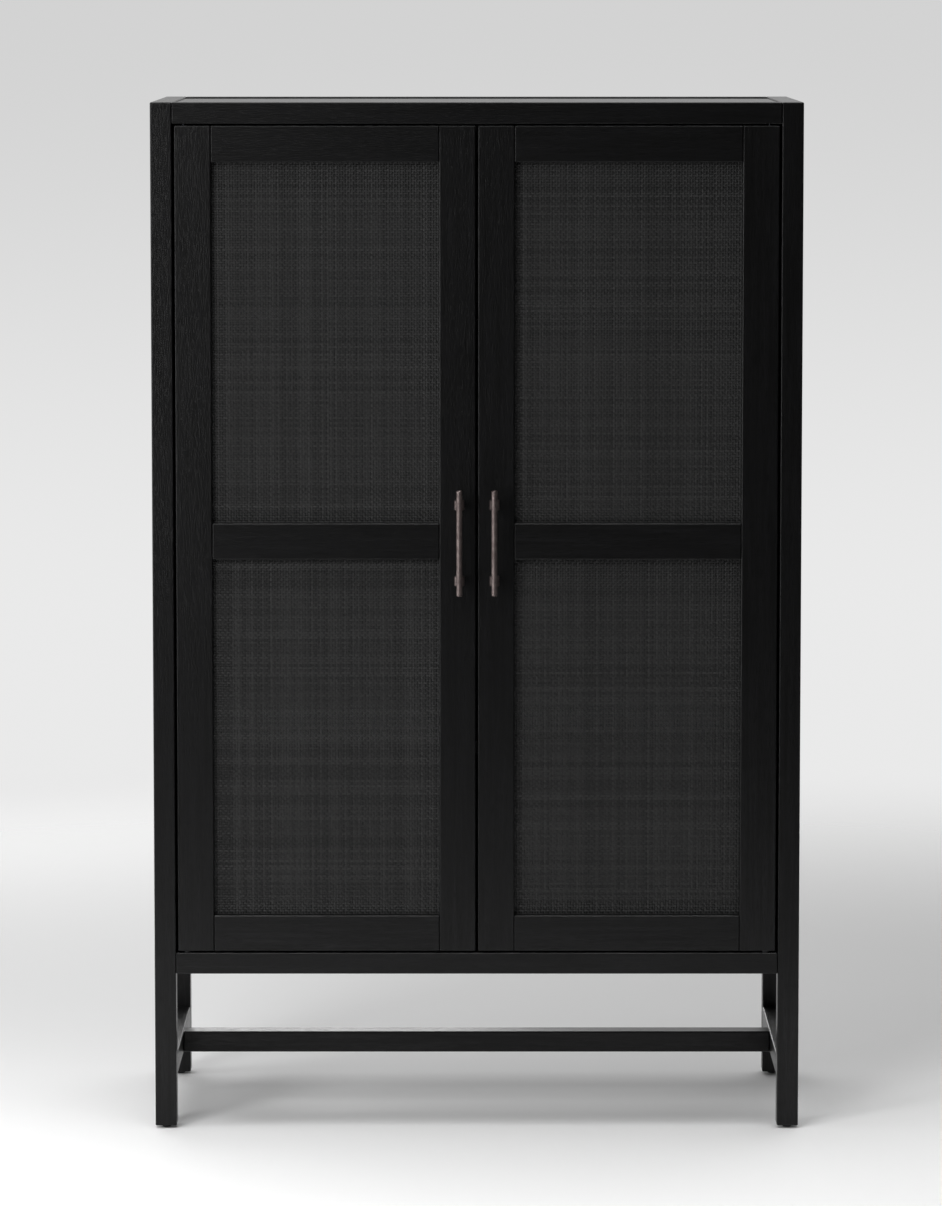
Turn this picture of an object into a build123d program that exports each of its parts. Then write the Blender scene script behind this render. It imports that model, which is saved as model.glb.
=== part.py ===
"""Two-door cabinet on a stretcher base: a dowelled timber frame with framed panels,
inset doors with woven panels that turn on concealed pivots, and shelves on pins.

Millimetres. +Z is up and the doors face -Y. The origin is on the floor, under the middle of
the whole cabinet, handles included.
"""

import os

from build123d import *

# Overall size
overall_width = 956.0
overall_height = 1524.0
case_depth = 406.0

# Frame timber: posts, rails and stretchers share one square section
section = 31.5
edge_break = 1.2
case_underside_height = 233.4
stretcher_underside_height = 76.0

# Boards and framed panels
panel_thickness = 18.0
top_panel_recess = 2.5
tongue_thickness = 6.0
tongue_length = 5.0
groove_side_clearance = 0.1
groove_end_clearance = 0.5
back_thickness = 4.0
back_recess = 1.0
back_rabbet_width = 9.0
back_edge_clearance = 0.5

# Dowels
dowel_radius = 4.0
dowel_length = 30.0
dowel_depth_in_post = 11.0
dowel_from_rail_edge = 7.25
dowel_from_case_face = 15.75
side_dowel_from_outside = 9.0
bore_clearance = 0.05
bore_end_room = 1.0
shelf_dowel_depth = 11.0
shelf_dowels_per_side = 3

# Doors
door_side_gap = 3.5
door_end_gap = 2.5
door_thickness = 20.0
door_member_width = 53.5
tenon_length = 25.0
tenon_height = 30.0
tenon_thickness = 8.0
tenon_clearance = 0.1
weave_recess = 10.0
weave_thickness = 3.0
rabbet_width = 9.0
rabbet_clearance = 0.5

# Door pivots
pivot_from_edge = 14.0
pivot_from_front = 9.0
pivot_radius = 2.5
pivot_engagement = 12.0
pivot_running_clearance = 0.05
pivot_plate_length = 28.0
pivot_plate_width = 13.0
pivot_plate_thickness = 2.0
pivot_screw_offset = 9.5
bush_radius = 5.0
bush_length = 14.0
washer_radius = 6.0
body_clearance = 0.3

# Magnetic catch
strike_thickness = 1.2
strike_width = 18.0
strike_height = 10.0
strike_from_lock_edge = 4.0
strike_spigot_radius = 2.0
strike_spigot_length = 8.0
catch_depth = 18.0
catch_height = 14.0
catch_end_margin = 4.0
catch_tab_length = 12.0
catch_tab_thickness = 3.0
magnet_height = 8.0
magnet_depth = 10.0

# Handles
handle_bar_radius = 4.5
handle_bar_length = 156.0
handle_post_spacing = 112.0
handle_from_lock_edge = 24.0
handle_projection = 32.0
collar_radius = 7.5
collar_length = 15.0
collar_setback = 7.0
handle_post_radius = 5.0
rosette_radius = 7.0
rosette_thickness = 2.0
handle_screw_radius = 2.0
handle_screw_grip = 12.0
handle_screw_head_radius = 4.0
handle_screw_head_height = 2.4

# Shelves and their pins
shelf_thickness = 18.0
shelf_front_clearance = 2.5
loose_shelf_clearance = 1.0
pin_radius = 2.5
pin_depth = 8.0
pin_hole_depth = 10.0
pin_pad_length = 8.0
pin_pad_width = 9.0
pin_pad_thickness = 5.0
pin_hole_pitch = 32.0
pin_hole_rows = 5
pin_column_inset = 45.0

# Small screws
screw_radius = 1.5
screw_head_radius = 2.8
screw_length = 12.0
screw_head_height = 1.6
back_screw_head_radius = 3.5
back_screw_edge_inset = 4.5
back_screws_across = 5
back_screws_up = 4
back_screw_end_margin = 40.0

# Feet and wall fixing
glide_height = 4.5
glide_radius = 7.0
glide_rounding = 2.5
glide_nail_radius = 1.2
glide_nail_length = 15.0
wall_hole_radius = 1.5
wall_hole_depth = 20.0
wall_hole_spacing = 600.0

# Planes of the case
case_front = handle_projection - (case_depth + handle_projection) / 2
case_back = case_front + case_depth
front_dowel_y = case_front + dowel_from_case_face
back_dowel_y = case_back - dowel_from_case_face
case_middle = (case_front + case_back) / 2
outer = overall_width / 2
inner = outer - section
front_frame_back = case_front + section
back_frame_front = case_back - section
lower_frame_top = case_underside_height + section
upper_frame_bottom = overall_height - section
post_centre = outer - section / 2
side_dowel_x = outer - side_dowel_from_outside
dowel_pair_half = section / 2 - dowel_from_rail_edge
front_post_centre = case_front + section / 2
back_post_centre = case_back - section / 2
back_panel_front = case_back - back_recess - back_thickness
floor_of_case = lower_frame_top
ceiling_of_case = overall_height - top_panel_recess - panel_thickness

# Planes of the doors
door_hinge_edge = inner - door_side_gap
door_lock_edge = door_side_gap / 2
door_bottom = lower_frame_top + door_end_gap
door_top = upper_frame_bottom - door_end_gap
door_middle = (door_bottom + door_top) / 2
door_back = case_front + door_thickness
pivot_x = door_hinge_edge - pivot_from_edge
pivot_y = case_front + pivot_from_front

SIDES = {"left": -1, "right": 1}
X_AXIS = Vector(1, 0, 0)
Y_AXIS = Vector(0, 1, 0)
Z_AXIS = Vector(0, 0, 1)


def block(x_ends, y_ends, z_ends, edge=0.0):
    """A straight block between three pairs of planes, its edges broken if asked."""
    spans = [sorted(ends) for ends in (x_ends, y_ends, z_ends)]
    sizes = [high - low for low, high in spans]
    centre = [(low + high) / 2 for low, high in spans]
    shape = Pos(*centre) * Box(*sizes)
    if edge:
        shape = chamfer(shape.edges(), edge)
    return shape


def rod(start, direction, radius, length):
    """A round rod from a point along a direction."""
    plane = Plane(origin=Vector(*start), z_dir=direction)
    return plane * Cylinder(radius, length, align=(Align.CENTER, Align.CENTER, Align.MIN))


def cone(start, direction, start_radius, end_radius, length):
    """A round taper from a point along a direction."""
    plane = Plane(origin=Vector(*start), z_dir=direction)
    align = (Align.CENTER, Align.CENTER, Align.MIN)
    return plane * Cone(start_radius, end_radius, length, align=align)


def spread(low, high, count):
    """Evenly spaced values from low to high, both included."""
    step = (high - low) / (count - 1)
    return [low + step * index for index in range(count)]


def around(centre, half):
    """The two values at an equal distance either side of a centre."""
    return (centre - half, centre + half)


nodes = {}
dowels = []


def cut(names, cutter):
    """Takes a cutter out of each named piece."""
    for name in names:
        nodes[name] -= cutter


def add_dowel(names, face_point, direction, first_depth=dowel_length - dowel_depth_in_post):
    """A dowel across a joint face, with a bore for it in both members.

    direction points out of the first member into the second, and first_depth is how far the
    dowel reaches into the first.
    """
    start = Vector(*face_point) - direction * first_depth
    dowels.append(rod(start, direction, dowel_radius, dowel_length))
    bore_start = start - direction * bore_end_room
    bore_length = dowel_length + 2 * bore_end_room
    cut(names, rod(bore_start, direction, dowel_radius + bore_clearance, bore_length))


# Posts: each is a corner of the case and a leg, standing on its glide
for side_name, side in SIDES.items():
    for row_name, row_y in (("front", front_post_centre), ("back", back_post_centre)):
        nodes[f"{side_name}_{row_name}_post"] = block(
            around(side * post_centre, section / 2),
            around(row_y, section / 2),
            (glide_height, overall_height),
            edge_break,
        )

# Rails: a frame of four at the top of the case and another at the bottom
RAIL_LEVELS = {"top": overall_height - section / 2, "bottom": lower_frame_top - section / 2}
for level_name, level_z in RAIL_LEVELS.items():
    for row_name, row_y, dowel_y in (
        ("front", front_post_centre, front_dowel_y),
        ("back", back_post_centre, back_dowel_y),
    ):
        rail_name = f"{level_name}_{row_name}_rail"
        nodes[rail_name] = block(
            (-inner, inner),
            around(row_y, section / 2),
            around(level_z, section / 2),
            edge_break,
        )
        for side_name, side in SIDES.items():
            post_name = f"{side_name}_{row_name}_post"
            for dowel_z in around(level_z, dowel_pair_half):
                joint = (side * inner, dowel_y, dowel_z)
                add_dowel([rail_name, post_name], joint, X_AXIS * side)
    for side_name, side in SIDES.items():
        rail_name = f"{side_name}_{level_name}_side_rail"
        nodes[rail_name] = block(
            around(side * post_centre, section / 2),
            (front_frame_back, back_frame_front),
            around(level_z, section / 2),
            edge_break,
        )
        front_joint = (side * side_dowel_x, front_frame_back, level_z)
        back_joint = (side * side_dowel_x, back_frame_front, level_z)
        add_dowel([rail_name, f"{side_name}_front_post"], front_joint, -Y_AXIS)
        add_dowel([rail_name, f"{side_name}_back_post"], back_joint, Y_AXIS)

# Stretchers: one along each side between the legs, and a long one between those two
stretcher_middle = stretcher_underside_height + section / 2
stretcher_levels = around(stretcher_middle, section / 2)
nodes["long_stretcher"] = block(
    (-inner, inner), around(case_middle, section / 2), stretcher_levels, edge_break
)
for side_name, side in SIDES.items():
    stretcher_name = f"{side_name}_stretcher"
    nodes[stretcher_name] = block(
        around(side * post_centre, section / 2),
        (front_frame_back, back_frame_front),
        stretcher_levels,
        edge_break,
    )
    for dowel_z in around(stretcher_middle, dowel_pair_half):
        front_joint = (side * post_centre, front_frame_back, dowel_z)
        back_joint = (side * post_centre, back_frame_front, dowel_z)
        middle_joint = (side * inner, case_middle, dowel_z)
        add_dowel([stretcher_name, f"{side_name}_front_post"], front_joint, -Y_AXIS)
        add_dowel([stretcher_name, f"{side_name}_back_post"], back_joint, Y_AXIS)
        add_dowel(["long_stretcher", stretcher_name], middle_joint, X_AXIS * side)

# Side panels: inner face flush with the posts, a tongue all round in grooves of the frame
side_y = (front_frame_back, back_frame_front)
side_z = (lower_frame_top, upper_frame_bottom)
for side_name, side in SIDES.items():
    outer_face = inner + panel_thickness
    side_x = (side * inner, side * outer_face)
    panel = block(side_x, side_y, side_z)
    for grow_y, grow_z in ((1, 0), (0, 1)):
        tongue_x = (side * (outer_face - tongue_thickness), side * outer_face)
        groove_x = (
            side * (outer_face - tongue_thickness - groove_side_clearance),
            side * (outer_face + groove_side_clearance),
        )
        groove_reach = tongue_length + groove_end_clearance
        panel += block(
            tongue_x,
            (side_y[0] - grow_y * tongue_length, side_y[1] + grow_y * tongue_length),
            (side_z[0] - grow_z * tongue_length, side_z[1] + grow_z * tongue_length),
        )
        groove = block(
            groove_x,
            (side_y[0] - grow_y * groove_reach, side_y[1] + grow_y * groove_reach),
            (side_z[0] - grow_z * groove_reach, side_z[1] + grow_z * groove_reach),
        )
        frame_around = [f"{side_name}_{place}" for place in (
            "front_post", "back_post", "top_side_rail", "bottom_side_rail")]
        cut(frame_around, groove)
    nodes[f"{side_name}_side_panel"] = panel

# Top and bottom panels: the same tongue and groove, centred in the board
BOARD_TOPS = {"top": overall_height - top_panel_recess, "bottom": floor_of_case}
for level_name, board_top in BOARD_TOPS.items():
    board_x = (-inner, inner)
    board_y = (front_frame_back, back_frame_front)
    board_middle = board_top - panel_thickness / 2
    board = block(board_x, board_y, (board_top - panel_thickness, board_top))
    for grow_x, grow_y in ((1, 0), (0, 1)):
        groove_reach = tongue_length + groove_end_clearance
        groove_half = tongue_thickness / 2 + groove_side_clearance
        board += block(
            (board_x[0] - grow_x * tongue_length, board_x[1] + grow_x * tongue_length),
            (board_y[0] - grow_y * tongue_length, board_y[1] + grow_y * tongue_length),
            around(board_middle, tongue_thickness / 2),
        )
        groove = block(
            (board_x[0] - grow_x * groove_reach, board_x[1] + grow_x * groove_reach),
            (board_y[0] - grow_y * groove_reach, board_y[1] + grow_y * groove_reach),
            around(board_middle, groove_half),
        )
        frame_around = [f"{level_name}_{row}_rail" for row in ("front", "back")]
        frame_around += [f"{side_name}_{level_name}_side_rail" for side_name in SIDES]
        cut(frame_around, groove)
    nodes[f"{level_name}_panel"] = board

# Shelves: the middle one is dowelled to the sides, the other two lie on pins
shelf_front = front_frame_back + shelf_front_clearance
shelf_y = (shelf_front, back_panel_front)
pin_columns = (front_frame_back + pin_column_inset, back_frame_front - pin_column_inset)
shelf_levels = {
    "lower": (floor_of_case + door_middle - shelf_thickness / 2) / 2,
    "upper": (ceiling_of_case + door_middle + shelf_thickness / 2) / 2,
}
nodes["middle_shelf"] = block(
    (-inner, inner), shelf_y, around(door_middle, shelf_thickness / 2)
)
for side_name, side in SIDES.items():
    side_panel_name = f"{side_name}_side_panel"
    for dowel_y in spread(*pin_columns, shelf_dowels_per_side):
        joint = (side * inner, dowel_y, door_middle)
        add_dowel(
            [side_panel_name, "middle_shelf"], joint, X_AXIS * -side, shelf_dowel_depth
        )

# Pin holes up the side panels, and the pins under the two loose shelves
shelf_pins = []
for level_name, shelf_middle in shelf_levels.items():
    shelf_half_width = inner - loose_shelf_clearance
    loose_shelf_y = (shelf_front, back_panel_front - loose_shelf_clearance)
    nodes[f"{level_name}_shelf"] = block(
        (-shelf_half_width, shelf_half_width),
        loose_shelf_y,
        around(shelf_middle, shelf_thickness / 2),
        edge_break,
    )
    pad_top = shelf_middle - shelf_thickness / 2 - body_clearance
    pin_z = pad_top - pin_pad_thickness / 2
    row_reach = pin_hole_pitch * (pin_hole_rows - 1) / 2
    for side_name, side in SIDES.items():
        for column_y in pin_columns:
            for row_z in spread(pin_z - row_reach, pin_z + row_reach, pin_hole_rows):
                hole_start = (side * inner, column_y, row_z)
                hole_radius = pin_radius + bore_clearance
                hole = rod(hole_start, X_AXIS * side, hole_radius, pin_hole_depth)
                cut([f"{side_name}_side_panel"], hole)
            pin = block(
                (side * inner, side * (inner - pin_pad_length)),
                around(column_y, pin_pad_width / 2),
                around(pin_z, pin_pad_thickness / 2),
                edge_break,
            )
            pin += rod((side * inner, column_y, pin_z), X_AXIS * side, pin_radius, pin_depth)
            shelf_pins.append(pin)

# Back: two thin boards in a rabbet round the back frame, meeting behind the middle shelf
rabbet_half_width = inner + back_rabbet_width
rabbet_z = (lower_frame_top - back_rabbet_width, upper_frame_bottom + back_rabbet_width)
rabbet = block(
    (-rabbet_half_width, rabbet_half_width), (back_panel_front, case_back), rabbet_z
)
cut(["left_back_post", "right_back_post", "top_back_rail", "bottom_back_rail"], rabbet)
back_y = (back_panel_front, back_panel_front + back_thickness)
back_half_width = rabbet_half_width - back_edge_clearance
back_ends = {
    "lower": (rabbet_z[0] + back_edge_clearance, door_middle),
    "upper": (door_middle, rabbet_z[1] - back_edge_clearance),
}
back_screws = []
screw_rows = {
    "lower": (lower_frame_top - back_screw_edge_inset, door_middle - back_screw_edge_inset),
    "upper": (door_middle + back_screw_edge_inset, upper_frame_bottom + back_screw_edge_inset),
}
for half_name, (low, high) in back_ends.items():
    board = block((-back_half_width, back_half_width), back_y, (low, high))
    spots = []
    row_end = inner - back_screw_end_margin
    for row_z in screw_rows[half_name]:
        spots += [(x, row_z) for x in spread(-row_end, row_end, back_screws_across)]
    column_x = inner + back_screw_edge_inset
    column_low = screw_rows[half_name][0] + back_screw_end_margin
    column_high = screw_rows[half_name][1] - back_screw_end_margin
    for side in SIDES.values():
        for z in spread(column_low, column_high, back_screws_up):
            spots.append((side * column_x, z))
    for x, z in spots:
        head_face = (x, back_y[1], z)
        head = rod(head_face, Y_AXIS, back_screw_head_radius, back_recess)
        back_screws.append(head + rod(head_face, -Y_AXIS, screw_radius, screw_length))
        screw_bore = rod(head_face, -Y_AXIS, screw_radius + bore_clearance,
                         screw_length + bore_end_room)
        board -= screw_bore
        near_side = "left" if x < 0 else "right"
        neighbours = ["middle_shelf", f"{near_side}_back_post"]
        neighbours += ["top_back_rail", "bottom_back_rail"]
        for neighbour in neighbours:
            reach = nodes[neighbour].bounding_box()
            if reach.min.X < x < reach.max.X and reach.min.Z < z < reach.max.Z:
                cut([neighbour], screw_bore)
    nodes[f"{half_name}_back_panel"] = board


def hardware_screw(head_point, direction):
    """A small countersunk wood screw whose head is flush at head_point."""
    head = cone(head_point, direction, screw_head_radius, screw_radius, screw_head_height)
    return head + rod(head_point, direction, screw_radius, screw_length)


def hardware_screw_bore(head_point, direction):
    """The countersunk hole that a small screw lies in, with its clearance."""
    wide = screw_head_radius + bore_clearance
    narrow = screw_radius + bore_clearance
    head = cone(head_point, direction, wide, narrow, screw_head_height)
    return head + rod(head_point, direction, narrow, screw_length + bore_end_room)


# Door pivots: a plate with a pin, let into the top and the bottom rail for each door
hinge_pivots = []
pivot_washers = []
hardware_screws = []
for side in SIDES.values():
    for rail_name, rail_face, into_door in (
        ("bottom_front_rail", lower_frame_top, 1),
        ("top_front_rail", upper_frame_bottom, -1),
    ):
        plate_centre = (side * pivot_x, pivot_y, rail_face)
        plate_z = (rail_face, rail_face - into_door * pivot_plate_thickness)
        plate = block(
            around(side * pivot_x, pivot_plate_length / 2),
            around(pivot_y, pivot_plate_width / 2),
            plate_z,
        )
        cut([rail_name], plate)
        pin_length = door_end_gap + pivot_engagement
        pivot = plate + rod(plate_centre, Z_AXIS * into_door, pivot_radius, pin_length)
        for screw_x in around(side * pivot_x, pivot_screw_offset):
            head_point = (screw_x, pivot_y, rail_face)
            into_rail = Z_AXIS * -into_door
            pivot -= hardware_screw_bore(head_point, into_rail)
            cut([rail_name], hardware_screw_bore(head_point, into_rail))
            hardware_screws.append(hardware_screw(head_point, into_rail))
        hinge_pivots.append(pivot)
    washer_start = (side * pivot_x, pivot_y, lower_frame_top)
    washer_height = door_end_gap - body_clearance
    washer = rod(washer_start, Z_AXIS, washer_radius, washer_height)
    washer -= rod(washer_start, Z_AXIS, pivot_radius + bore_clearance, washer_height)
    pivot_washers.append(washer)

# Doors: stiles and rails with tenons, woven panels held in a rabbet by beads
stile_inner_hinge = door_hinge_edge - door_member_width
stile_inner_lock = door_lock_edge + door_member_width
rail_middles = {
    "bottom": door_bottom + door_member_width / 2,
    "middle": door_middle,
    "top": door_top - door_member_width / 2,
}
half_member = door_member_width / 2
door_openings = {
    "lower": (rail_middles["bottom"] + half_member, door_middle - half_member),
    "upper": (door_middle + half_member, rail_middles["top"] - half_member),
}
door_y = (case_front, door_back)
tenon_middle = (case_front + door_back) / 2
weave_y = (case_front + weave_recess, case_front + weave_recess + weave_thickness)
bar_axis_y = case_front - handle_projection + handle_bar_radius
collar_axis_y = bar_axis_y + collar_setback

for side_name, side in SIDES.items():
    prefix = f"{side_name}_door"
    hinge_stile = block(
        (side * door_hinge_edge, side * stile_inner_hinge), door_y,
        (door_bottom, door_top), edge_break,
    )
    lock_stile = block(
        (side * door_lock_edge, side * stile_inner_lock), door_y,
        (door_bottom, door_top), edge_break,
    )
    rail_ends = (side * stile_inner_lock, side * stile_inner_hinge)
    tenon_ends = (
        side * (stile_inner_lock - tenon_length), side * (stile_inner_hinge + tenon_length)
    )
    mortise_reach = tenon_length + tenon_clearance
    mortise_ends = (
        side * (stile_inner_lock - mortise_reach), side * (stile_inner_hinge + mortise_reach)
    )
    rails = {}
    for rail_name, rail_z in rail_middles.items():
        rail = block(rail_ends, door_y, around(rail_z, half_member), edge_break)
        tenon = block(
            tenon_ends,
            around(tenon_middle, tenon_thickness / 2),
            around(rail_z, tenon_height / 2),
        )
        mortise = block(
            mortise_ends,
            around(tenon_middle, tenon_thickness / 2 + tenon_clearance),
            around(rail_z, tenon_height / 2 + tenon_clearance),
        )
        rails[rail_name] = rail + tenon
        hinge_stile -= mortise
        lock_stile -= mortise

    # Rabbets from the back of the door, then the panels and beads that fill them
    panel_beads = []
    for opening_name, (low, high) in door_openings.items():
        rabbet_x = (
            side * (stile_inner_lock - rabbet_width), side * (stile_inner_hinge + rabbet_width)
        )
        rabbet_z = (low - rabbet_width, high + rabbet_width)
        door_rabbet = block(rabbet_x, (weave_y[0], door_back), rabbet_z)
        hinge_stile -= door_rabbet
        lock_stile -= door_rabbet
        for rail_name in rails:
            rails[rail_name] -= door_rabbet
        weave_x = (
            rabbet_x[0] + side * rabbet_clearance, rabbet_x[1] - side * rabbet_clearance
        )
        weave_z = (rabbet_z[0] + rabbet_clearance, rabbet_z[1] - rabbet_clearance)
        nodes[f"{side_name}_{opening_name}_woven_panel"] = block(weave_x, weave_y, weave_z)
        bead_y = (weave_y[1], door_back)
        for outer_x, inward in ((rabbet_x[0], side), (rabbet_x[1], -side)):
            panel_beads.append(
                block((outer_x, outer_x + inward * rabbet_width), bead_y, rabbet_z)
            )
        bead_x = (rabbet_x[0] + side * rabbet_width, rabbet_x[1] - side * rabbet_width)
        for outer_z, inward in ((rabbet_z[0], 1), (rabbet_z[1], -1)):
            panel_beads.append(
                block(bead_x, bead_y, (outer_z, outer_z + inward * rabbet_width))
            )
    nodes[f"{side_name}_panel_beads"] = panel_beads

    # Bushes for the pivot pins, pressed into the ends of the hinge stile
    pivot_bushes = []
    for stile_end, inward in ((door_bottom, 1), (door_top, -1)):
        mouth = (side * pivot_x, pivot_y, stile_end)
        into_stile = Z_AXIS * inward
        pin_bore = rod(
            mouth, into_stile, pivot_radius + pivot_running_clearance, bush_length
        )
        pivot_bushes.append(rod(mouth, into_stile, bush_radius, bush_length) - pin_bore)
        hinge_stile -= rod(mouth, into_stile, bush_radius, bush_length + bore_end_room)
    nodes[f"{side_name}_pivot_bushes"] = pivot_bushes

    # Handle: a bar lying in the front of two collars, each on a stem with a rosette at the door
    handle_x = side * (door_lock_edge + handle_from_lock_edge)
    bar_bottom = door_middle - handle_bar_length / 2
    bar = rod((handle_x, bar_axis_y, bar_bottom), Z_AXIS, handle_bar_radius, handle_bar_length)
    bar = chamfer(bar.edges().filter_by(GeomType.CIRCLE), edge_break)
    nodes[f"{side_name}_handle_bar"] = bar
    handle_posts = []
    handle_screws = []
    for post_z in around(door_middle, handle_post_spacing / 2):
        collar_start = (handle_x, collar_axis_y, post_z - collar_length / 2)
        collar = rod(collar_start, Z_AXIS, collar_radius, collar_length)
        collar = chamfer(collar.edges().filter_by(GeomType.CIRCLE), edge_break)
        door_face = (handle_x, case_front, post_z)
        rosette = rod(door_face, -Y_AXIS, rosette_radius, rosette_thickness)
        front_edge = rosette.edges().filter_by(GeomType.CIRCLE).sort_by(Axis.Y)[0]
        rosette = fillet(front_edge, rosette_thickness / 2)
        stem_length = case_front - collar_axis_y
        post = collar + rosette + rod(door_face, -Y_AXIS, handle_post_radius, stem_length)
        post -= bar
        screw_start = (handle_x, door_back, post_z)
        shank_length = door_thickness + handle_screw_grip
        shank = rod(screw_start, -Y_AXIS, handle_screw_radius, shank_length)
        head = rod(screw_start, Y_AXIS, handle_screw_head_radius, handle_screw_head_height)
        bore_radius = handle_screw_radius + bore_clearance
        screw_bore = rod(screw_start, -Y_AXIS, bore_radius, shank_length + bore_end_room)
        handle_posts.append(post - screw_bore)
        handle_screws.append(shank + head)
        lock_stile -= screw_bore
    nodes[f"{side_name}_handle_posts"] = handle_posts
    nodes[f"{side_name}_handle_screws"] = handle_screws

    # Strike plate for the catch, on the back of the lock stile at the top
    strike_near = door_lock_edge + strike_from_lock_edge
    strike_x = (side * strike_near, side * (strike_near + strike_width))
    strike_top = door_top - edge_break
    strike_middle = (
        side * (strike_near + strike_width / 2), door_back, strike_top - strike_height / 2
    )
    strike = block(
        strike_x, (door_back, door_back + strike_thickness),
        (strike_top - strike_height, strike_top),
    )
    strike += rod(strike_middle, -Y_AXIS, strike_spigot_radius, strike_spigot_length)
    lock_stile -= rod(
        strike_middle, -Y_AXIS, strike_spigot_radius + bore_clearance,
        strike_spigot_length + bore_end_room,
    )
    nodes[f"{side_name}_strike_plate"] = strike

    nodes[f"{prefix}_hinge_stile"] = hinge_stile
    nodes[f"{prefix}_lock_stile"] = lock_stile
    for rail_name, rail in rails.items():
        nodes[f"{prefix}_{rail_name}_rail"] = rail

# Magnetic catch: one housing under the top rail, with a magnet facing each strike plate
catch_front = door_back + strike_thickness + body_clearance
catch_back = catch_front + catch_depth
catch_half_width = door_lock_edge + strike_from_lock_edge + strike_width + catch_end_margin
catch_bottom = upper_frame_bottom - catch_height
housing = block(
    (-catch_half_width, catch_half_width), (catch_front, catch_back),
    (catch_bottom, upper_frame_bottom), edge_break,
)
tab_half_width = catch_half_width + catch_tab_length
tab_bottom = upper_frame_bottom - catch_tab_thickness
housing += block(
    (-tab_half_width, tab_half_width), (catch_front, catch_back),
    (tab_bottom, upper_frame_bottom),
)
catch_screw_y = (catch_front + front_frame_back) / 2
for side in SIDES.values():
    head_point = (side * (catch_half_width + catch_tab_length / 2), catch_screw_y, tab_bottom)
    screw_bore = hardware_screw_bore(head_point, Z_AXIS)
    housing -= screw_bore
    cut(["top_front_rail"], screw_bore)
    hardware_screws.append(hardware_screw(head_point, Z_AXIS))
magnets = []
magnet_middle = door_top - edge_break - strike_height / 2
for side in SIDES.values():
    magnet_near = door_lock_edge + strike_from_lock_edge
    magnet = block(
        (side * magnet_near, side * (magnet_near + strike_width)),
        (catch_front, catch_front + magnet_depth),
        around(magnet_middle, magnet_height / 2),
    )
    housing -= magnet
    magnets.append(magnet)
nodes["catch_housing"] = housing
nodes["catch_magnets"] = magnets

# Feet: a rounded glide under each post, on a nail
foot_glides = []
for side_name, side in SIDES.items():
    for row_name, row_y in (("front", front_post_centre), ("back", back_post_centre)):
        base = (side * post_centre, row_y, 0)
        button = rod(base, Z_AXIS, glide_radius, glide_height)
        lower_edge = button.edges().filter_by(GeomType.CIRCLE).sort_by(Axis.Z)[0]
        button = fillet(lower_edge, glide_rounding)
        nail_start = (side * post_centre, row_y, glide_height)
        button += rod(nail_start, Z_AXIS, glide_nail_radius, glide_nail_length)
        foot_glides.append(button)
        nail_bore = rod(
            nail_start, Z_AXIS, glide_nail_radius + bore_clearance,
            glide_nail_length + bore_end_room,
        )
        cut([f"{side_name}_{row_name}_post"], nail_bore)

# Two pilot holes in the back of the top rail for an anti-tip strap
wall_hole_z = (upper_frame_bottom + back_rabbet_width + overall_height) / 2
for hole_x in around(0, wall_hole_spacing / 2):
    wall_hole = rod((hole_x, case_back, wall_hole_z), -Y_AXIS, wall_hole_radius, wall_hole_depth)
    cut(["top_back_rail"], wall_hole)

nodes["frame_dowels"] = dowels
nodes["shelf_pins"] = shelf_pins
nodes["back_panel_screws"] = back_screws
nodes["hinge_pivots"] = hinge_pivots
nodes["pivot_washers"] = pivot_washers
nodes["hardware_screws"] = hardware_screws
nodes["foot_glides"] = foot_glides

# Each node is written as its own file: one solid, or a group of like solids
os.makedirs("parts", exist_ok=True)
for node_name, shape in nodes.items():
    pieces = shape if isinstance(shape, list) else [shape]
    solids = [solid for piece in pieces for solid in piece.solids()]
    node = solids[0] if len(solids) == 1 else Compound(children=solids)
    export_step(node, f"parts/{node_name}.step")
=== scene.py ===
import math

import bmesh
import bpy
from mathutils import Matrix, Vector


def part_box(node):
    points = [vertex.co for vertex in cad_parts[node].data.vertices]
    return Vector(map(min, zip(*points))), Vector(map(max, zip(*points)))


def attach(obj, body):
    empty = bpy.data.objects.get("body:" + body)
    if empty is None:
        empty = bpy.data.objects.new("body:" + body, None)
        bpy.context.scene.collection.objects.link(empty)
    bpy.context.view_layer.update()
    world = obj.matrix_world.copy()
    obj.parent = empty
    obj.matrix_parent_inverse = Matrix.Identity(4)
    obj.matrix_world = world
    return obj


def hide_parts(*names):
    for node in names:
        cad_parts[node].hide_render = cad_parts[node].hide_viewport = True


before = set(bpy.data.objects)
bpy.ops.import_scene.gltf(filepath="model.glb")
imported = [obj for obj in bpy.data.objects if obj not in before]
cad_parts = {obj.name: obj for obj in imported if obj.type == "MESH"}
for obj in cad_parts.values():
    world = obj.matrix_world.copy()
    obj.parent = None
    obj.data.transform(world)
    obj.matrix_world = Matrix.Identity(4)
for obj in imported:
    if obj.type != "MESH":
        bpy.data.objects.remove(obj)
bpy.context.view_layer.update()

# ---------------------------------------------------------------- posts, rails and stretchers
# The frame that carries everything: square ash posts, rails and stretchers, dowelled and glued.
# Planed with the arrises just broken, stained black to the bottom of the open pores, and finished
# with a thin satin lacquer that leaves the pores to be seen and felt.
MM = 0.001
SIDES = ("left", "right")
ARRIS_ROUNDING = 1.4 * MM  # sanding softens the broken edges, which then catch the light


def linear(hex_colour):
    """An sRGB hex colour as the linear values that a shader takes."""
    values = [int(hex_colour[at:at + 2], 16) / 255 for at in (1, 3, 5)]
    curve = [v / 12.92 if v <= 0.04045 else ((v + 0.055) / 1.055) ** 2.4 for v in values]
    return (*curve, 1.0)


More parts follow.
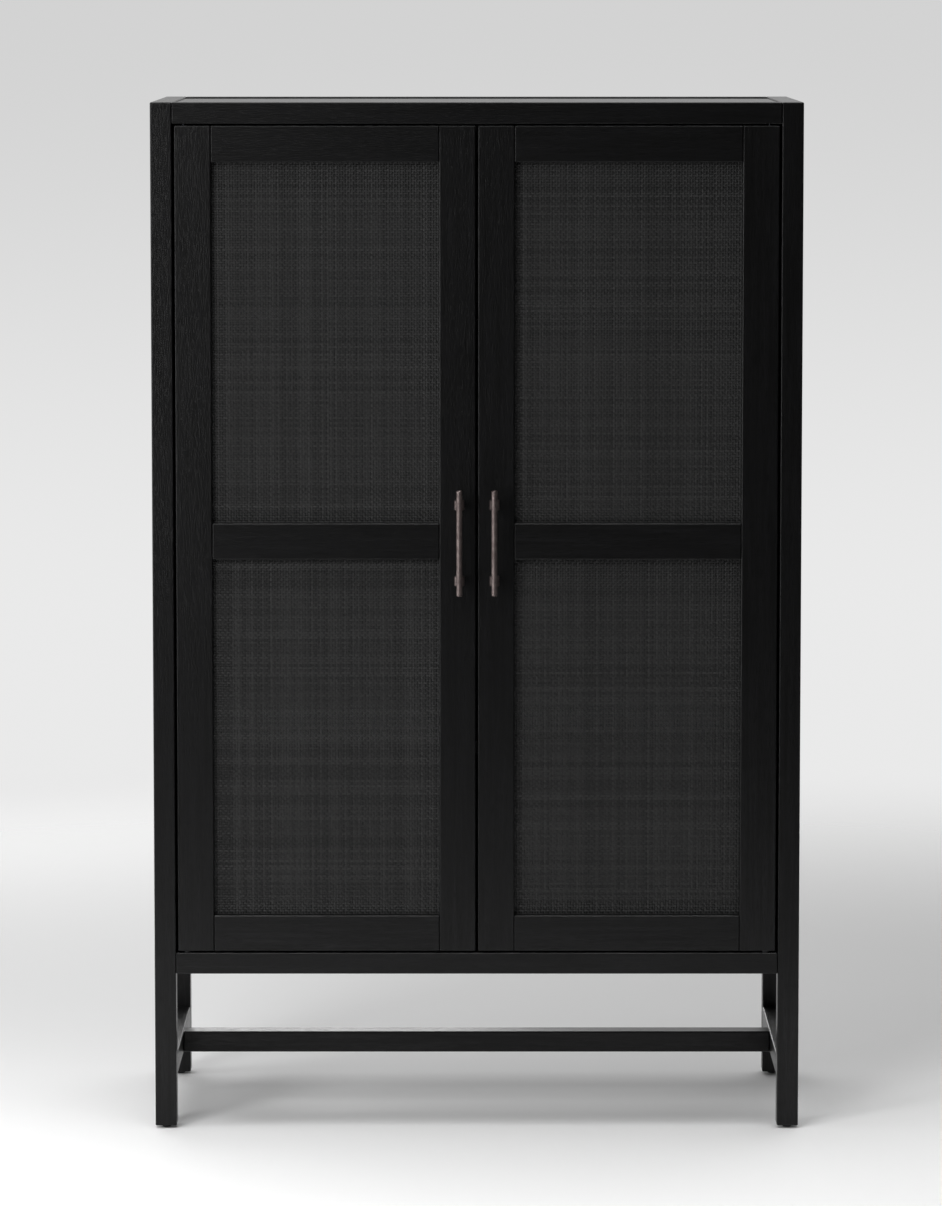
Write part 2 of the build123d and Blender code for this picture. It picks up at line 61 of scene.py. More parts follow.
def add(tree, kind, inputs=None, **settings):
    """Adds a node with its settings, then sets its inputs or links them from a node or socket."""
    made = tree.nodes.new(kind)
    for name, value in settings.items():
        setattr(made, name, value)
    for key, value in (inputs or {}).items():
        socket = made.inputs[key] if isinstance(key, int) else next(
            s for s in made.inputs if s.enabled and s.name == key)
        if isinstance(value, bpy.types.Node):
            value = next(s for s in value.outputs if s.enabled)
        if isinstance(value, bpy.types.NodeSocket):
            tree.links.new(value, socket)
        else:
            socket.default_value = value
    return made


def new_material(name, roughness, ior=1.5, metallic=0.0):
    """An empty material, as (material, its node tree, its shader)."""
    made = bpy.data.materials.new(name)
    made.use_nodes = True
    tree = made.node_tree
    tree.nodes.clear()
    shader = add(tree, "ShaderNodeBsdfPrincipled", {
        "Roughness": roughness, "IOR": ior, "Metallic": metallic})
    add(tree, "ShaderNodeOutputMaterial", {"Surface": shader})
    return made, tree, shader


def stained_ash(name, grain, dark, light, ring_mm, pore_mm, gloss, pore_depth_mm):
    """Black-stained ash whose fibres run along one axis.

    Growth rings give soft bands ring_mm across. Between them lie open pores, pore_mm across and
    far longer, that hold the darkest stain and sink pore_depth_mm into the surface. The pores
    break the lacquer, so it reflects less than half of what an unbroken film would.
    """
    ash, tree, shader = new_material(name, gloss, ior=1.55)
    shader.inputs["Specular Tint"].default_value = linear("#b4b4b4")
    place = add(tree, "ShaderNodeTexCoord").outputs["Object"]

    def drawn_out(across_mm, times_longer, start):
        sizes = [across_mm * MM] * 3
        sizes["xyz".index(grain)] *= times_longer
        return add(tree, "ShaderNodeMapping", {
            "Vector": place, "Scale": [1 / size for size in sizes], "Location": start})

    rings = add(tree, "ShaderNodeTexNoise", {
        "Vector": drawn_out(ring_mm, 30, (3.1, 5.3, 7.1)), "Scale": 1.0, "Detail": 3.0,
        "Roughness": 0.55, "Distortion": 0.6})
    pores = add(tree, "ShaderNodeTexNoise", {
        "Vector": drawn_out(pore_mm, 16, (11.7, 2.9, 4.3)), "Scale": 1.0, "Detail": 1.0,
        "Roughness": 0.5})
    open_pores = add(tree, "ShaderNodeMapRange", {
        "Value": pores, "From Min": 0.36, "From Max": 0.52})
    band = add(tree, "ShaderNodeMapRange", {"Value": rings, "From Min": 0.3, "From Max": 0.7})
    tone = add(tree, "ShaderNodeMath", {0: band, 1: open_pores}, operation="MULTIPLY")
    colour = add(tree, "ShaderNodeMix", {
        "Factor": tone, 6: linear(dark), 7: linear(light)}, data_type="RGBA")
    tree.links.new(colour.outputs[2], shader.inputs["Base Color"])
    sheen = add(tree, "ShaderNodeMapRange", {
        "Value": tone, "To Min": gloss + 0.06, "To Max": gloss - 0.02})
    tree.links.new(sheen.outputs["Result"], shader.inputs["Roughness"])
    arris = add(tree, "ShaderNodeBevel", {"Radius": ARRIS_ROUNDING}, samples=6)
    relief = add(tree, "ShaderNodeBump", {
        "Height": open_pores, "Strength": 0.7, "Distance": pore_depth_mm * MM,
        "Normal": arris})
    tree.links.new(relief.outputs["Normal"], shader.inputs["Normal"])
    return ash


def finish_nodes(names, material):
    """Gives CAD pieces their material, in every slot they have."""
    for name in names:
        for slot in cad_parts[name].material_slots:
            slot.material = material


# Ash grows about 2 mm a year, which a flat-sawn face shows as bands 6 mm wide. The pores are
# drawn 1.1 mm wide, because the real 0.3 mm would not show from across a room.
solid_ash = {
    grain: stained_ash(f"stained_ash_along_{grain}", grain, "#020202", "#151516",
                       ring_mm=6.0, pore_mm=1.1, gloss=0.31, pore_depth_mm=0.1)
    for grain in "xyz"
}
finish_nodes([f"{side}_{row}_post" for side in SIDES for row in ("front", "back")],
             solid_ash["z"])
finish_nodes([f"{level}_{row}_rail" for level in ("top", "bottom") for row in ("front", "back")],
             solid_ash["x"])
finish_nodes([f"{side}_{level}_side_rail" for side in SIDES for level in ("top", "bottom")],
             solid_ash["y"])
finish_nodes([f"{side}_stretcher" for side in SIDES], solid_ash["y"])
finish_nodes(["long_stretcher"], solid_ash["x"])

# ---------------------------------------------------------------- dowels
# Fluted beech pegs glued into every frame joint and behind the middle shelf. Bare, pale wood with
# the short dark flecks of its rays.
beech, tree, shader = new_material("bare_beech", roughness=0.62)
flecks = add(tree, "ShaderNodeTexNoise", {
    "Vector": add(tree, "ShaderNodeTexCoord").outputs["Object"], "Scale": 1 / (1.2 * MM),
    "Detail": 3.0})
colour = add(tree, "ShaderNodeMix", {
    "Factor": flecks, 6: linear("#a2764c"), 7: linear("#d6b083")}, data_type="RGBA")
tree.links.new(colour.outputs[2], shader.inputs["Base Color"])
finish_nodes(["frame_dowels"], beech)

# ---------------------------------------------------------------- panels and shelves
# Boards faced with ash veneer, held by tongues in grooves or lying on pins. The grain runs up the
# sides and along everything level. Sliced veneer is smoother than the planed frame: its bands are
# wider, and its pores closer and shallower.
veneered_board = {
    grain: stained_ash(f"ash_veneer_along_{grain}", grain, "#030303", "#131314",
                       ring_mm=9.0, pore_mm=0.9, gloss=0.31, pore_depth_mm=0.04)
    for grain in "xz"
}
finish_nodes([f"{side}_side_panel" for side in SIDES], veneered_board["z"])
finish_nodes(["top_panel", "bottom_panel", "middle_shelf", "upper_shelf", "lower_shelf"],
             veneered_board["x"])

# ---------------------------------------------------------------- shelf pins
# Stamped steel pins, zinc plated: a round peg with a flat pad that the shelf lies on. The plating
# is bright but broken up by a fine spangle.
zinc, tree, shader = new_material("zinc_plated_steel", roughness=0.32, metallic=1.0)
spangle = add(tree, "ShaderNodeTexNoise", {
    "Vector": add(tree, "ShaderNodeTexCoord").outputs["Object"], "Scale": 1 / (2.5 * MM),
    "Detail": 2.0})
colour = add(tree, "ShaderNodeMix", {
    "Factor": spangle, 6: linear("#94989c"), 7: linear("#c9ccd0")}, data_type="RGBA")
tree.links.new(colour.outputs[2], shader.inputs["Base Color"])
finish_nodes(["shelf_pins"], zinc)

# ---------------------------------------------------------------- back
# Two sheets of 4 mm hardboard in a rabbet, painted black with a roller: matt, slightly uneven in
# tone, with the pimpled skin that a roller leaves every 2 or 3 mm.
hardboard, tree, shader = new_material("painted_hardboard", roughness=0.68, ior=1.48)
place = add(tree, "ShaderNodeTexCoord").outputs["Object"]
uneven = add(tree, "ShaderNodeTexNoise", {
    "Vector": place, "Scale": 1 / (90 * MM), "Detail": 4.0})
colour = add(tree, "ShaderNodeMix", {
    "Factor": uneven, 6: linear("#101011"), 7: linear("#1c1c1d")}, data_type="RGBA")
tree.links.new(colour.outputs[2], shader.inputs["Base Color"])
pimples = add(tree, "ShaderNodeTexNoise", {
    "Vector": place, "Scale": 1 / (2.5 * MM), "Detail": 1.0})
skin = add(tree, "ShaderNodeBump", {"Height": pimples, "Strength": 0.5, "Distance": 0.1 * MM})
tree.links.new(skin.outputs["Normal"], shader.inputs["Normal"])
finish_nodes(["upper_back_panel", "lower_back_panel"], hardboard)

# ---------------------------------------------------------------- screws in the back
# Wafer-head screws, blackened by a hot salt bath and oiled: a low crowned head with a cross
# recess. The recess stands at a different turn in each, as driving leaves it.
blackened, tree, shader = new_material("blackened_steel", roughness=0.42, metallic=1.0)
bath = add(tree, "ShaderNodeTexNoise", {
    "Vector": add(tree, "ShaderNodeTexCoord").outputs["Object"], "Scale": 1 / (1.5 * MM),
    "Detail": 2.0})
colour = add(tree, "ShaderNodeMix", {
    "Factor": bath, 6: linear("#1d1e21"), 7: linear("#3a3c40")}, data_type="RGBA")
tree.links.new(colour.outputs[2], shader.inputs["Base Color"])


def new_growth(name, inputs):
    """A Geometry Nodes tree with these named inputs, as (tree, its input sockets)."""
    tree = bpy.data.node_groups.new(name, "GeometryNodeTree")
    tree.is_modifier = True
    tree.interface.new_socket("Geometry", in_out="OUTPUT", socket_type="NodeSocketGeometry")
    for input_name, kind in inputs.items():
        tree.interface.new_socket(
            input_name, in_out="INPUT", socket_type=f"NodeSocket{kind}")
    return tree, add(tree, "NodeGroupInput").outputs


def grow(name, start, tree, values):
    """Runs a Geometry Nodes tree on a starting mesh and keeps the result as a plain piece."""
    made = bpy.data.objects.new(name, start)
    bpy.context.scene.collection.objects.link(made)
    modifier = made.modifiers.new("grow", "NODES")
    modifier.node_group = tree
    for item in tree.interface.items_tree:
        if item.in_out == "INPUT" and item.name in values:
            modifier[item.identifier] = values[item.name]
    evaluated = made.evaluated_get(bpy.context.evaluated_depsgraph_get())
    result = bpy.data.meshes.new_from_object(evaluated)
    made.modifiers.remove(modifier)
    made.data = result
    result.name = name
    return made


def screw_tree():
    """A cross-recessed screw on each point of a mesh, its head facing along that point's aim."""
    tree, given = new_growth("cross_recess_screw", {
        "Points": "Geometry", "Head Radius": "Float", "Crown Radius": "Float",
        "Head Height": "Float", "Crown Height": "Float", "Shank Radius": "Float",
        "Shank Length": "Float", "Recess Width": "Float", "Seed": "Int", "Metal": "Material"})
    shank = add(tree, "GeometryNodeMeshCone", {
        "Vertices": 12, "Radius Top": given["Shank Radius"],
        "Radius Bottom": given["Shank Radius"], "Depth": given["Shank Length"]})
    drop = add(tree, "ShaderNodeMath", {0: given["Shank Length"], 1: -1.0}, operation="MULTIPLY")
    sunk = add(tree, "GeometryNodeTransform", {
        "Geometry": shank.outputs["Mesh"],
        "Translation": add(tree, "ShaderNodeCombineXYZ", {"Z": drop})})
    head = add(tree, "GeometryNodeMeshCone", {
        "Vertices": 24, "Radius Top": given["Crown Radius"],
        "Radius Bottom": given["Head Radius"], "Depth": given["Head Height"]})
    top_radius = add(tree, "ShaderNodeMath", {0: given["Crown Radius"], 1: 0.55},
                     operation="MULTIPLY")
    crown = add(tree, "GeometryNodeMeshCone", {
        "Vertices": 24, "Radius Top": top_radius, "Radius Bottom": given["Crown Radius"],
        "Depth": given["Crown Height"]})
    raised = add(tree, "GeometryNodeTransform", {
        "Geometry": crown.outputs["Mesh"],
        "Translation": add(tree, "ShaderNodeCombineXYZ", {"Z": given["Head Height"]})})
    solid = add(tree, "GeometryNodeMeshBoolean", operation="UNION")
    for part in (sunk, head, raised):
        tree.links.new(part.outputs[0], solid.inputs["Mesh 2"])
    full_height = add(tree, "ShaderNodeMath", {
        0: given["Head Height"], 1: given["Crown Height"]}, operation="ADD")
    recess_span = add(tree, "ShaderNodeMath", {0: given["Crown Radius"], 1: 1.1},
                      operation="MULTIPLY")
    cut = add(tree, "GeometryNodeMeshBoolean", {"Mesh 1": solid}, operation="DIFFERENCE")
    for across, along in (("X", "Y"), ("Y", "X")):
        blade = add(tree, "GeometryNodeMeshCube", {
            "Size": add(tree, "ShaderNodeCombineXYZ", {
                across: given["Recess Width"], along: recess_span,
                "Z": given["Head Height"]})})
        placed = add(tree, "GeometryNodeTransform", {
            "Geometry": blade.outputs["Mesh"],
            "Translation": add(tree, "ShaderNodeCombineXYZ", {"Z": full_height})})
        tree.links.new(placed.outputs[0], cut.inputs["Mesh 2"])
    turn = add(tree, "FunctionNodeRandomValue", {
        "Min": 0.0, "Max": math.pi / 2, "Seed": given["Seed"]})
    spun = add(tree, "FunctionNodeEulerToRotation", {
        0: add(tree, "ShaderNodeCombineXYZ", {"Z": turn})})
    aimed = add(tree, "FunctionNodeAlignRotationToVector", {
        "Rotation": spun,
        "Vector": add(tree, "GeometryNodeInputNamedAttribute", {"Name": "aim"},
                      data_type="FLOAT_VECTOR")}, axis="Z")
    driven = add(tree, "GeometryNodeInstanceOnPoints", {
        "Points": given["Points"], "Instance": cut, "Rotation": aimed})
    real = add(tree, "GeometryNodeRealizeInstances", {"Geometry": driven})
    plated = add(tree, "GeometryNodeSetMaterial", {
        "Geometry": real, "Material": given["Metal"]})
    add(tree, "NodeGroupOutput", {"Geometry": plated})
    return tree


def middle_of(solid):
    """The middle of the box around a solid's corner points."""
    return Vector([
        (min(corner[at] for corner in solid) + max(corner[at] for corner in solid)) / 2
        for at in range(3)])


def solids_of(node_name):
    """The corner points of each separate solid in a CAD piece, in the order of their places."""
    copy = bmesh.new()
    copy.from_mesh(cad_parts[node_name].data)
    bmesh.ops.remove_doubles(copy, verts=copy.verts, dist=0.001 * MM)
    waiting, solids = set(copy.verts), []
    while waiting:
        front, solid = [waiting.pop()], []
        while front:
            corner = front.pop()
            solid.append(corner.co.copy())
            near = {edge.other_vert(corner) for edge in corner.link_edges} & waiting
            waiting -= near
            front += near
        solids.append(solid)
    copy.free()
    return sorted(solids, key=lambda solid: [round(place, 6) for place in middle_of(solid)])


def drive_screws(name, node_name, body, axis, values):
    """Remakes a CAD piece's screws with cross recesses; each head faces out along the axis."""
    seats, aims = [], []
    for solid in solids_of(node_name):
        middle = middle_of(solid)
        across = [at for at in range(3) if at != axis]
        rim = max(solid, key=lambda corner: sum((corner[at] - middle[at]) ** 2 for at in across))
        out = 1.0 if rim[axis] > middle[axis] else -1.0
        tip = out * max(out * corner[axis] for corner in solid)
        seat = middle.copy()
        seat[axis] = tip - out * (values["Head Height"] + values["Crown Height"])
        seats.append(seat)
        aims.append(Vector([out if at == axis else 0.0 for at in range(3)]))
    holes = bpy.data.meshes.new(name)
    holes.from_pydata(seats, [], [])
    aim = holes.attributes.new("aim", "FLOAT_VECTOR", "POINT")
    aim.data.foreach_set("vector", [value for one in aims for value in one])
    screws = grow(name, holes, cross_recess_screw, values)
    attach(screws, body)
    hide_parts(node_name)


cross_recess_screw = screw_tree()
drive_screws("back_wafer_screws", "back_panel_screws", "cabinet", 1, {
    "Head Radius": 3.5 * MM, "Crown Radius": 3.1 * MM, "Head Height": 0.6 * MM,
    "Crown Height": 0.4 * MM, "Shank Radius": 1.5 * MM, "Shank Length": 12 * MM,
    "Recess Width": 0.9 * MM, "Seed": 3, "Metal": blackened})

# ---------------------------------------------------------------- door frames and beads
# Stiles and rails of the same solid ash, tenoned and glued, and slim ash beads pinned in behind
# the panels. Upright pieces have upright grain, rails have level grain.
for side in SIDES:
    finish_nodes([f"{side}_door_hinge_stile", f"{side}_door_lock_stile", f"{side}_panel_beads"],
                 solid_ash["z"])
    finish_nodes([f"{side}_door_{level}_rail" for level in ("top", "middle", "bottom")],
                 solid_ash["x"])

# ---------------------------------------------------------------- woven panels
# Flat cord of twisted kraft paper, dyed black and woven by hand in a tight plain weave, stretched
# into the door's rabbets. Warp and weft pass over and under each other, and no two cords have
# quite the same width, place or depth of dye.
WARP_PITCH = 4.05 * MM  # drawn a tenth wider than the real 3.65 mm, so that the weave shows
WEFT_PITCH = 3.75 * MM  # and this one than 3.3 mm
CORD_THICKNESS = 1.1 * MM
CORD_LIFT = 0.55 * MM  # how far a cord rises and falls from the panel's middle
CORD_FILL = 0.82  # the share of the pitch that a cord fills
CORD_WANDER = 0.22 * MM  # how far a cord strays from its place to either side

paper_cord, tree, shader = new_material("dyed_paper_cord", roughness=0.7, ior=1.45)
dye = add(tree, "ShaderNodeAttribute", attribute_name="dye").outputs["Fac"]
fibre = add(tree, "ShaderNodeTexNoise", {
    "Vector": add(tree, "ShaderNodeTexCoord").outputs["Object"], "Scale": 1 / (0.9 * MM),
    "Detail": 2.0})
tone = add(tree, "ShaderNodeMath", {0: fibre, 1: 0.4, 2: dye}, operation="MULTIPLY_ADD")
colour = add(tree, "ShaderNodeMix", {
    "Factor": tone, 6: linear("#050505"), 7: linear("#292929")}, data_type="RGBA")
tree.links.new(colour.outputs[2], shader.inputs["Base Color"])
twist = add(tree, "ShaderNodeBump", {"Height": fibre, "Strength": 0.5, "Distance": 0.1 * MM})
tree.links.new(twist.outputs["Normal"], shader.inputs["Normal"])


def cord_tree(name, warp):
    """The warp or the weft of a plain weave in the XY plane, as cords that rise and fall."""
    tree, given = new_growth(name, {
        "Width": "Float", "Height": "Float", "Warp Count": "Int", "Weft Count": "Int",
        "Cord Width": "Float", "Cord Thickness": "Float", "Lift": "Float", "Wander": "Float",
        "Seed": "Int", "Cord": "Material"})
    crossings = add(tree, "GeometryNodeMeshGrid", {
        "Size X": given["Width"], "Size Y": given["Height"],
        "Vertices X": given["Warp Count"], "Vertices Y": given["Weft Count"]})
    # A grid counts its points up each warp in turn, so a point's number gives its two cords
    number = add(tree, "GeometryNodeInputIndex")
    warp_number = add(tree, "ShaderNodeMath", {
        0: add(tree, "ShaderNodeMath", {0: number, 1: given["Weft Count"]}, operation="DIVIDE")},
        operation="FLOOR")
    weft_number = add(tree, "ShaderNodeMath", {0: number, 1: given["Weft Count"]},
                      operation="MODULO")
    wander = []
    for seed_shift, cord_number in ((1, warp_number), (2, weft_number)):
        seed = add(tree, "ShaderNodeMath", {0: given["Seed"], 1: seed_shift}, operation="ADD")
        chance = add(tree, "FunctionNodeRandomValue", {
            "Min": -1.0, "Max": 1.0, "ID": cord_number, "Seed": seed})
        wander.append(add(tree, "ShaderNodeMath", {0: chance, 1: given["Wander"]},
                          operation="MULTIPLY"))
    both = add(tree, "ShaderNodeMath", {0: warp_number, 1: weft_number}, operation="ADD")
    odd = add(tree, "ShaderNodeMath", {0: both, 1: 2.0}, operation="MODULO")
    above = add(tree, "ShaderNodeMapRange", {
        "Value": odd, "To Min": 1.0 if warp else -1.0, "To Max": -1.0 if warp else 1.0})
    rise = add(tree, "ShaderNodeMath", {0: above, 1: given["Lift"]}, operation="MULTIPLY")
    own_number = warp_number if warp else weft_number
    own_seed = add(tree, "ShaderNodeMath", {0: given["Seed"], 1: 3 if warp else 4},
                   operation="ADD")
    dyed = add(tree, "GeometryNodeStoreNamedAttribute", {
        "Geometry": crossings.outputs["Mesh"], "Name": "dye",
        "Value": add(tree, "FunctionNodeRandomValue", {
            "Min": -0.1, "Max": 0.8, "ID": own_number, "Seed": own_seed})})
    spread_seed = add(tree, "ShaderNodeMath", {0: given["Seed"], 1: 5 if warp else 6},
                      operation="ADD")
    sized = add(tree, "GeometryNodeStoreNamedAttribute", {
        "Geometry": dyed, "Name": "fullness",
        "Value": add(tree, "FunctionNodeRandomValue", {
            "Min": 0.84, "Max": 1.08, "ID": own_number, "Seed": spread_seed})})
    moved = add(tree, "GeometryNodeSetPosition", {
        "Geometry": sized,
        "Offset": add(tree, "ShaderNodeCombineXYZ", {
            "X": wander[0], "Y": wander[1], "Z": rise})})
    ends = add(tree, "GeometryNodeInputMeshEdgeVertices").outputs
    number_gap = add(tree, "ShaderNodeMath", {
        0: ends["Vertex Index 1"], 1: ends["Vertex Index 2"]}, operation="SUBTRACT")
    apart = add(tree, "ShaderNodeMath", {0: number_gap}, operation="ABSOLUTE")
    crosses = add(tree, "FunctionNodeCompare", {0: apart, 1: 1.5},
                  operation="GREATER_THAN" if warp else "LESS_THAN")
    lines = add(tree, "GeometryNodeDeleteGeometry", {"Geometry": moved, "Selection": crosses},
                domain="EDGE", mode="EDGE_FACE")
    curves = add(tree, "GeometryNodeMeshToCurve", {"Mesh": lines})
    level = add(tree, "GeometryNodeSetCurveNormal", {"Curve": curves}, mode="Z_UP")
    outline = add(tree, "GeometryNodeCurvePrimitiveCircle", {"Resolution": 6, "Radius": 0.5})
    section = add(tree, "GeometryNodeTransform", {
        "Geometry": outline.outputs["Curve"],
        "Scale": add(tree, "ShaderNodeCombineXYZ", {
            "X": given["Cord Width"], "Y": given["Cord Thickness"], "Z": 1.0})})
    cords = add(tree, "GeometryNodeCurveToMesh", {
        "Curve": level, "Profile Curve": section, "Fill Caps": True,
        "Scale": add(tree, "GeometryNodeInputNamedAttribute", {"Name": "fullness"},
                     data_type="FLOAT")})
    smooth = add(tree, "GeometryNodeSetShadeSmooth", {"Geometry": cords})
    real = add(tree, "GeometryNodeRealizeInstances", {"Geometry": smooth})
    named = add(tree, "GeometryNodeSetMaterial", {"Geometry": real, "Material": given["Cord"]})
    add(tree, "NodeGroupOutput", {"Geometry": named})
    return tree


weave_trees = {"warp": cord_tree("warp_cords", True), "weft": cord_tree("weft_cords", False)}
for side_number, side in enumerate(SIDES):
    for level_number, level in enumerate(("upper", "lower")):
        low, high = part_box(f"{side}_{level}_woven_panel")
        size = high - low
        warp_count = round(size.x / WARP_PITCH)
        weft_count = round(size.z / WEFT_PITCH)
        stand_up = Matrix.Translation((low + high) / 2) @ Matrix.Rotation(math.pi / 2, 4, "X")
        for run, tree in weave_trees.items():
            pitch = WARP_PITCH if run == "warp" else WEFT_PITCH
            piece = grow(f"{side}_{level}_{run}", bpy.data.meshes.new("start"), tree, {
                "Width": size.x - WARP_PITCH, "Height": size.z - WEFT_PITCH,
                "Warp Count": warp_count, "Weft Count": weft_count,
                "Cord Width": CORD_FILL * pitch, "Cord Thickness": CORD_THICKNESS,
                "Lift": CORD_LIFT, "Wander": CORD_WANDER,
                "Seed": 40 * side_number + 10 * level_number, "Cord": paper_cord})
            piece.data.transform(stand_up)
            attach(piece, f"{side}_door")
        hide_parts(f"{side}_{level}_woven_panel")

# ---------------------------------------------------------------- handles
# Cast zinc bar pulls, plated and rubbed back to a dark bronze: dull and darker in patches, and a
# warm grey brown where the plating is polished.
bronze, tree, shader = new_material("rubbed_dark_bronze", roughness=0.38, metallic=1.0)
rubbing = add(tree, "ShaderNodeTexNoise", {
    "Vector": add(tree, "ShaderNodeTexCoord").outputs["Object"], "Scale": 1 / (9 * MM),
    "Detail": 5.0})
worn = add(tree, "ShaderNodeMapRange", {"Value": rubbing, "From Min": 0.35, "From Max": 0.65})
colour = add(tree, "ShaderNodeMix", {
    "Factor": worn, 6: linear("#665c5a"), 7: linear("#807573")}, data_type="RGBA")
tree.links.new(colour.outputs[2], shader.inputs["Base Color"])
polish = add(tree, "ShaderNodeMapRange", {"Value": worn, "To Min": 0.54, "To Max": 0.44})
tree.links.new(polish.outputs["Result"], shader.inputs["Roughness"])
finish_nodes([f"{side}_handle_{part}" for side in SIDES for part in ("bar", "posts")], bronze)

# ---------------------------------------------------------------- handle screws
# Pan-head machine screws through the lock stile from behind, in the same blackened steel.
for side in SIDES:
    drive_screws(f"{side}_pan_screws", f"{side}_handle_screws", f"{side}_door", 1, {
        "Head Radius": 4.0 * MM, "Crown Radius": 3.4 * MM, "Head Height": 1.6 * MM,
        "Crown Height": 0.8 * MM, "Shank Radius": 2.0 * MM, "Shank Length": 32 * MM,
        "Recess Width": 1.1 * MM, "Seed": 8, "Metal": blackened})

# ---------------------------------------------------------------- pivots and their screws
# Each door turns on two hardened pins with let-in plates, all blackened, held by small
# countersunk screws and running in plated bushes.
finish_nodes(["hinge_pivots", "hardware_screws"], blackened)
finish_nodes([f"{side}_{part}" for side in SIDES for part in ("pivot_bushes", "strike_plate")],
             zinc)

# ---------------------------------------------------------------- catch, washers and glides
# Moulded black plastic: an acetal catch housing and washers, and polyethylene glides under the
# legs. The tools' spark-eroded walls leave a fine even tooth.
moulded, tree, shader = new_material("moulded_black_acetal", roughness=0.5, ior=1.48)
place = add(tree, "ShaderNodeTexCoord").outputs["Object"]
spark = add(tree, "ShaderNodeTexNoise", {"Vector": place, "Scale": 1 / (0.6 * MM)})
colour = add(tree, "ShaderNodeMix", {
    "Factor": spark, 6: linear("#131315"), 7: linear("#1b1b1e")}, data_type="RGBA")
tree.links.new(colour.outputs[2], shader.inputs["Base Color"])
tooth = add(tree, "ShaderNodeBump", {"Height": spark, "Strength": 0.3, "Distance": 0.05 * MM})
tree.links.new(tooth.outputs["Normal"], shader.inputs["Normal"])
finish_nodes(["catch_housing", "pivot_washers", "foot_glides"], moulded)

# The two magnets are pressed and sintered ferrite: dark grey, with a grainy matt face.
ferrite, tree, shader = new_material("sintered_ferrite", roughness=0.6)
grit = add(tree, "ShaderNodeTexNoise", {
    "Vector": add(tree, "ShaderNodeTexCoord").outputs["Object"], "Scale": 1 / (0.5 * MM),
    "Detail": 3.0})
colour = add(tree, "ShaderNodeMix", {
    "Factor": grit, 6: linear("#303032"), 7: linear("#4c4c4f")}, data_type="RGBA")
tree.links.new(colour.outputs[2], shader.inputs["Base Color"])
finish_nodes(["catch_magnets"], ferrite)

# ---------------------------------------------------------------- studio
# A round of matt white paper that fades into the air of the room. The air's light comes from high
# behind the cabinet and is dim in front. A tall soft light on the left models the fronts, a high
# one fills them, and the rest light the sides and the floor.
PAPER_RADIUS = 3.4
PAPER_SOLID_RADIUS = 1.3
paper = bpy.data.materials.new("matt_white_paper")
paper.use_nodes = True
tree = paper.node_tree
tree.nodes.clear()
matt = add(tree, "ShaderNodeBsdfDiffuse", {"Color": linear("#eaeaea")})
out_from_middle = add(tree, "ShaderNodeVectorMath", {
    0: add(tree, "ShaderNodeTexCoord").outputs["Object"]}, operation="LENGTH")
fade = add(tree, "ShaderNodeMapRange", {
    "Value": out_from_middle.outputs["Value"], "From Min": PAPER_SOLID_RADIUS,
    "From Max": PAPER_RADIUS}, interpolation_type="SMOOTHSTEP")
add(tree, "ShaderNodeOutputMaterial", {"Surface": add(tree, "ShaderNodeMixShader", {
    "Fac": fade, 1: matt, 2: add(tree, "ShaderNodeBsdfTransparent")})})
disc = bmesh.new()
bmesh.ops.create_circle(disc, cap_ends=True, segments=96, radius=PAPER_RADIUS)
floor_mesh = bpy.data.meshes.new("paper_floor")
disc.to_mesh(floor_mesh)
disc.free()
floor = bpy.data.objects.new("paper_floor", floor_mesh)
floor.data.materials.append(paper)
bpy.context.scene.collection.objects.link(floor)

world = bpy.data.worlds.new("studio_air")
world.use_nodes = True
tree = world.node_tree
tree.nodes.clear()
way = add(tree, "ShaderNodeSeparateXYZ", {
    0: add(tree, "ShaderNodeTexCoord").outputs["Generated"]}).outputs
# The camera sees the same pale backdrop all round, a little paler below the horizon
backdrop = add(tree, "ShaderNodeMapRange", {
    "Value": way["Z"], "From Min": -0.125, "From Max": 0.0, "To Min": 0.82, "To Max": 0.65},
    interpolation_type="SMOOTHSTEP")
behind = add(tree, "ShaderNodeMapRange", {
    "Value": way["Y"], "From Min": 0.1, "From Max": 0.9, "To Min": 0.04, "To Max": 1.0},
    interpolation_type="SMOOTHSTEP")
overhead = add(tree, "ShaderNodeMapRange", {
    "Value": way["Z"], "From Min": 0.12, "From Max": 0.5, "To Min": 0.6, "To Max": 1.4},
    interpolation_type="SMOOTHSTEP")
glow = add(tree, "ShaderNodeMath", {0: behind, 1: overhead}, operation="MULTIPLY")
seen = add(tree, "ShaderNodeMix", {
    "Factor": add(tree, "ShaderNodeLightPath").outputs["Is Camera Ray"],
    "A": glow, "B": backdrop})
add(tree, "ShaderNodeOutputWorld", {"Surface": add(tree, "ShaderNodeBackground", {
    "Color": (1, 1, 1, 1), "Strength": seen})})
bpy.context.scene.world = world


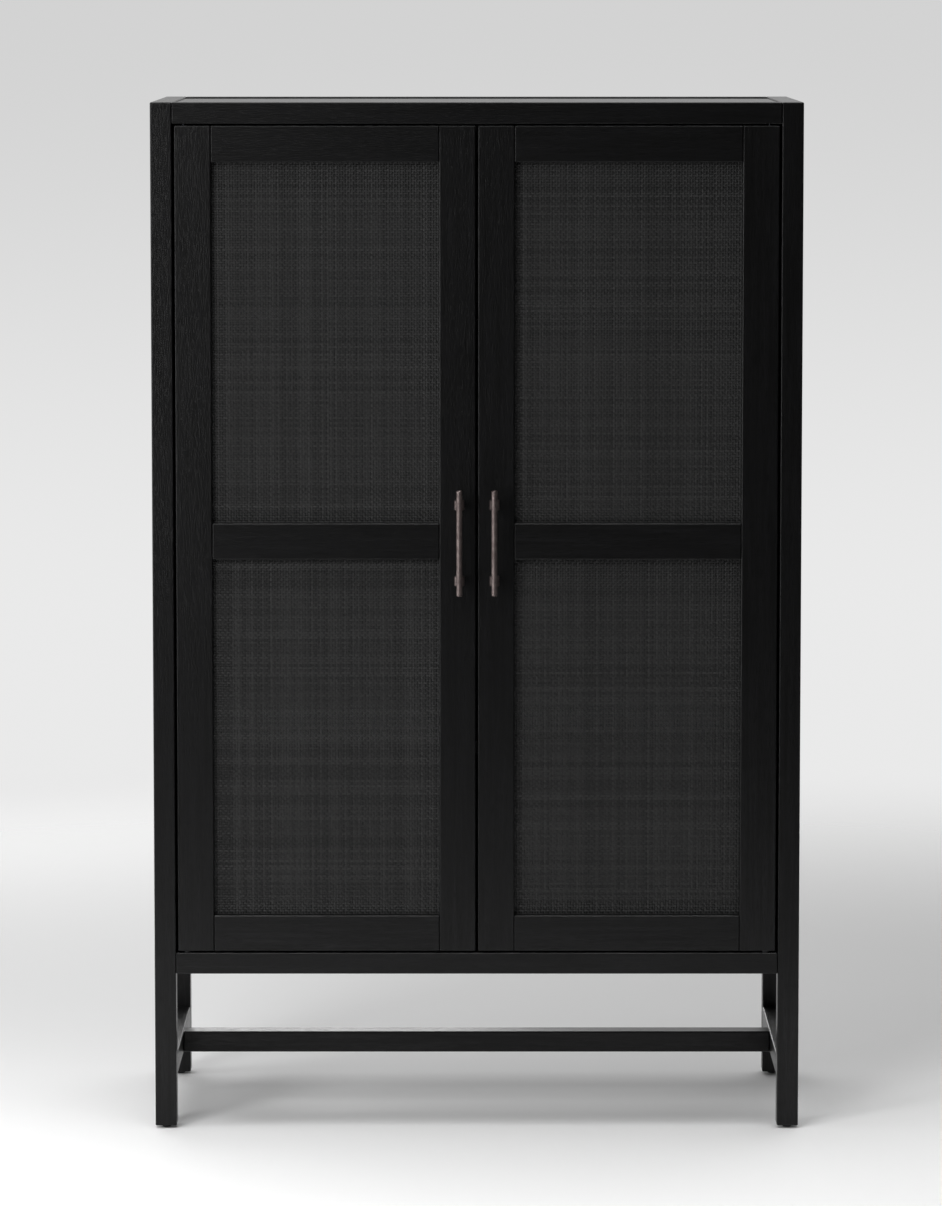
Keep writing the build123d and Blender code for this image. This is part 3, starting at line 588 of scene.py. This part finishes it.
def soft_light(name, place, target, size, power, spread=180):
    """A rectangular area light at a place, facing a target, with its spread in degrees."""
    lamp = bpy.data.lights.new(name, "AREA")
    lamp.shape = "RECTANGLE"
    lamp.size, lamp.size_y = size
    lamp.energy = power
    lamp.spread = math.radians(spread)
    holder = bpy.data.objects.new(name, lamp)
    holder.location = place
    holder.visible_camera = False
    holder.rotation_euler = (Vector(target) - Vector(place)).to_track_quat("-Z", "Y").to_euler()
    bpy.context.scene.collection.objects.link(holder)


soft_light("key", place=(-1.6, -2.0, 1.35), target=(0.0, -0.1, 1.0), size=(0.6, 1.9), power=26)
soft_light("high_front", place=(-1.3, -3.4, 3.4), target=(0.0, 0.0, 0.4), size=(1.2, 1.2),
           power=45)
soft_light("left_side", place=(-2.6, -0.4, 1.0), target=(0.0, -0.2, 0.8), size=(1.0, 1.8),
           power=22)
soft_light("right_fill", place=(3.0, 0.3, 1.1), target=(0.5, 0.0, 0.8), size=(2.0, 1.8),
           power=3.5)
# Lower than the cabinet's top, so that the top doesn't mirror it
soft_light("low_back", place=(-1.0, 3.0, 0.9), target=(0.2, 0.6, 0.0), size=(2.4, 0.9), power=21)
soft_light("front_floor", place=(-0.3, -0.75, 2.6), target=(-0.3, -0.75, 0.0), size=(3.2, 0.8),
           power=8, spread=50)
soft_light("back_floor", place=(-0.2, 1.0, 3.6), target=(-0.2, 1.0, 0.0), size=(3.6, 1.4),
           power=9, spread=90)

# The camera stands well back and a little above the top, looking slightly down.
CAMERA_BACK = 7.365
CAMERA_HEIGHT = 1.6863
CAMERA_ASIDE = -0.0086
CAMERA_TILT_DOWN = math.radians(5.309)
case_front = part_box("top_front_rail")[0].y
lens = bpy.data.cameras.new("camera")
lens.sensor_width = 36.0
lens.lens = 150.19
lens.shift_y = -0.12
camera = bpy.data.objects.new("camera", lens)
camera.location = (CAMERA_ASIDE, case_front - CAMERA_BACK, CAMERA_HEIGHT)
camera.rotation_euler = (math.pi / 2 - CAMERA_TILT_DOWN, 0, 0)
bpy.context.scene.collection.objects.link(camera)
bpy.context.scene.camera = camera
bpy.context.scene.view_settings.view_transform = "Standard"
